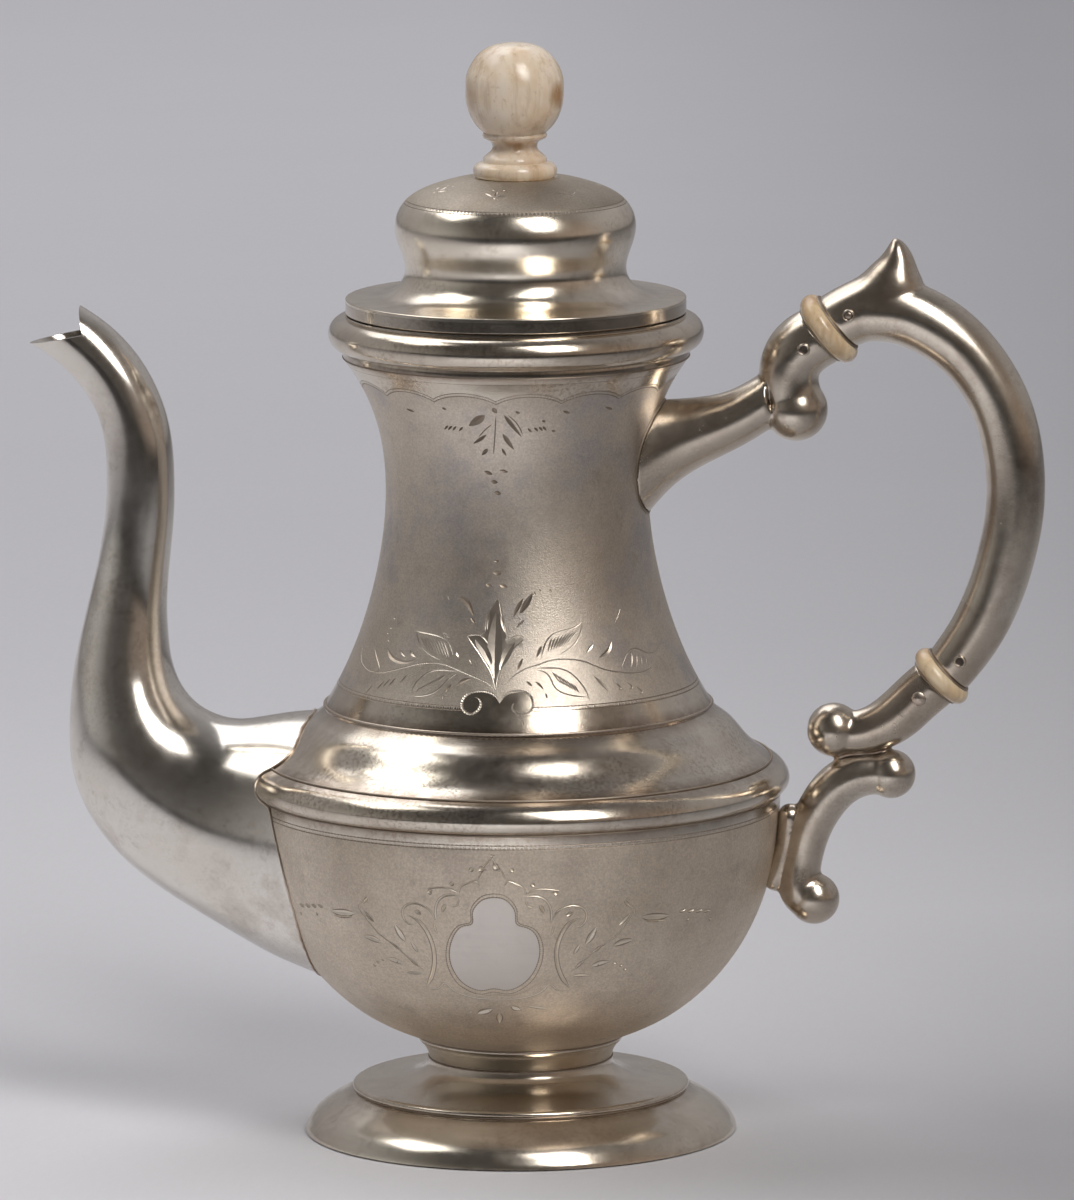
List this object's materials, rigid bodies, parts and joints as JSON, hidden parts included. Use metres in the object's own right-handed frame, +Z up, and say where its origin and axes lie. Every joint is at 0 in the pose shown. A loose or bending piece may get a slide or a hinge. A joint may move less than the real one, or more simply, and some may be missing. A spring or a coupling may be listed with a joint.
{
  "type": "coffee pot",
  "caption": "Baluster silver coffee pot on a spread foot, with a curved spout, a scroll handle broken by bone rings, a lift-off lid with a bone finial, and engraved satin bands.",
  "frame": {"origin": "on the pot's vertical axis, at the level the foot stands on", "axes": "+Z up, the spout points to -X, the handle to +X, the engraved front faces -Y"},
  "size_m": [0.2064, 0.1098, 0.2222],
  "materials": {
    "silver_polished": "polished silver with light tarnish",
    "silver_satin": "matted silver with bright-cut engraving",
    "silver_dark": "tarnished silver",
    "bone": "polished bone, cream with brown streaks"
  },
  "bodies": {
    "pot": {"bowl": "silver_satin", "girdle_moulding": "silver_polished", "shoulder": "silver_polished", "neck": "silver_satin", "rim_moulding": "silver_polished", "foot_collar": "silver_polished", "foot_stem": "silver_polished", "foot_base": "silver_polished", "foot_ring_wire": "silver_polished", "spout_near_half": "silver_polished", "spout_far_half": "silver_polished", "upper_handle_stub": "silver_polished", "upper_scroll": "silver_polished", "upper_insulator": "bone", "upper_insulator_pins": "silver_dark", "handle_grip": "silver_polished", "lower_insulator": "bone", "lower_insulator_pins": "silver_dark", "lower_scroll": "silver_polished", "lower_bracket": "silver_polished", "handle_pad": "silver_polished"},
    "lid": {"lid_dome": "silver_satin", "lid_flange_ring": "silver_polished", "lid_bezel": "silver_polished", "knob": "bone", "knob_stud": "silver_dark", "knob_washer": "silver_dark", "knob_nut": "silver_dark"}
  },
  "joints": [
    {"name": "lid_lift", "type": "slide", "parent": "pot", "child": "lid", "axis": [0, 0, 1], "range_m": [0, 0.08]}
  ]
}
